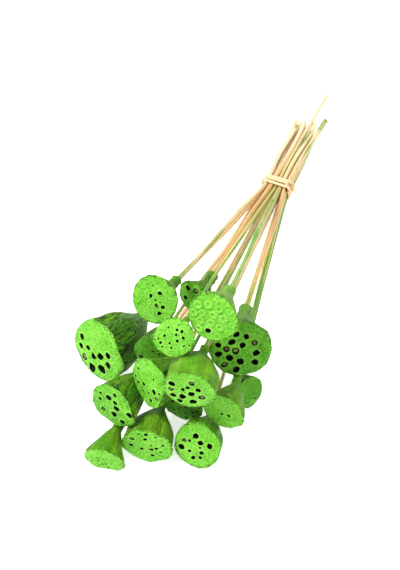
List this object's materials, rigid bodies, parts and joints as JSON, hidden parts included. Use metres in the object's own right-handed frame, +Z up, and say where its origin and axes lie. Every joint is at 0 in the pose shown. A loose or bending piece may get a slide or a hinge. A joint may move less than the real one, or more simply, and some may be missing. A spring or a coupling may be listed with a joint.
{
  "type": "dried lotus pod bunch",
  "caption": "Dyed dried lotus seed pods on straight reed sticks, tied with raffia near the cut ends and lying flat, for dry floral display.",
  "frame": {"origin": "middle of the bunch's bounding box, on the surface it lies on", "axes": "+Z up, +Y from the pods to the cut ends of the reeds, +X to the right seen from the pods' end"},
  "size_m": [0.2018, 0.5804, 0.1878],
  "materials": {
    "pod_lime": "dyed dry skin, satin, bright yellow green with paler worn edges",
    "pod_leaf": "dyed dry skin, satin, darker leaf green",
    "pod_moss": "dyed dry skin, matt, greyish green where the dye is thin",
    "reed_straw": "dry cane, satin, pale straw with faint green streaks",
    "reed_tan": "dry cane, satin, orange tan",
    "reed_stained": "dry cane, satin, stained by the green dye",
    "raffia": "dry fibre, matt, pale tan"
  },
  "bodies": {
    "root": {"pod_left": "pod_lime", "pod_back_left": "pod_moss", "pod_back_small": "pod_leaf", "pod_crown": "pod_lime", "pod_upper": "pod_lime", "pod_inner_left": "pod_leaf", "pod_centre": "pod_lime", "pod_dome": "pod_lime", "pod_lower_left": "pod_moss", "pod_bell": "pod_lime", "pod_front": "pod_lime", "pod_front_right": "pod_lime", "pod_right": "pod_lime", "pod_side_small": "pod_leaf", "pod_inner_small": "pod_leaf", "pod_right_big": "pod_leaf", "reed_left": "reed_straw", "reed_back_left": "reed_straw", "reed_back_small": "reed_tan", "reed_crown": "reed_stained", "reed_upper": "reed_stained", "reed_inner_left": "reed_tan", "reed_centre": "reed_straw", "reed_dome": "reed_straw", "reed_lower_left": "reed_straw", "reed_bell": "reed_straw", "reed_front": "reed_stained", "reed_front_right": "reed_straw", "reed_right": "reed_stained", "reed_side_small": "reed_stained", "reed_inner_small": "reed_tan", "reed_right_big": "reed_tan", "raffia_tie": "raffia"}
  },
  "joints": []
}
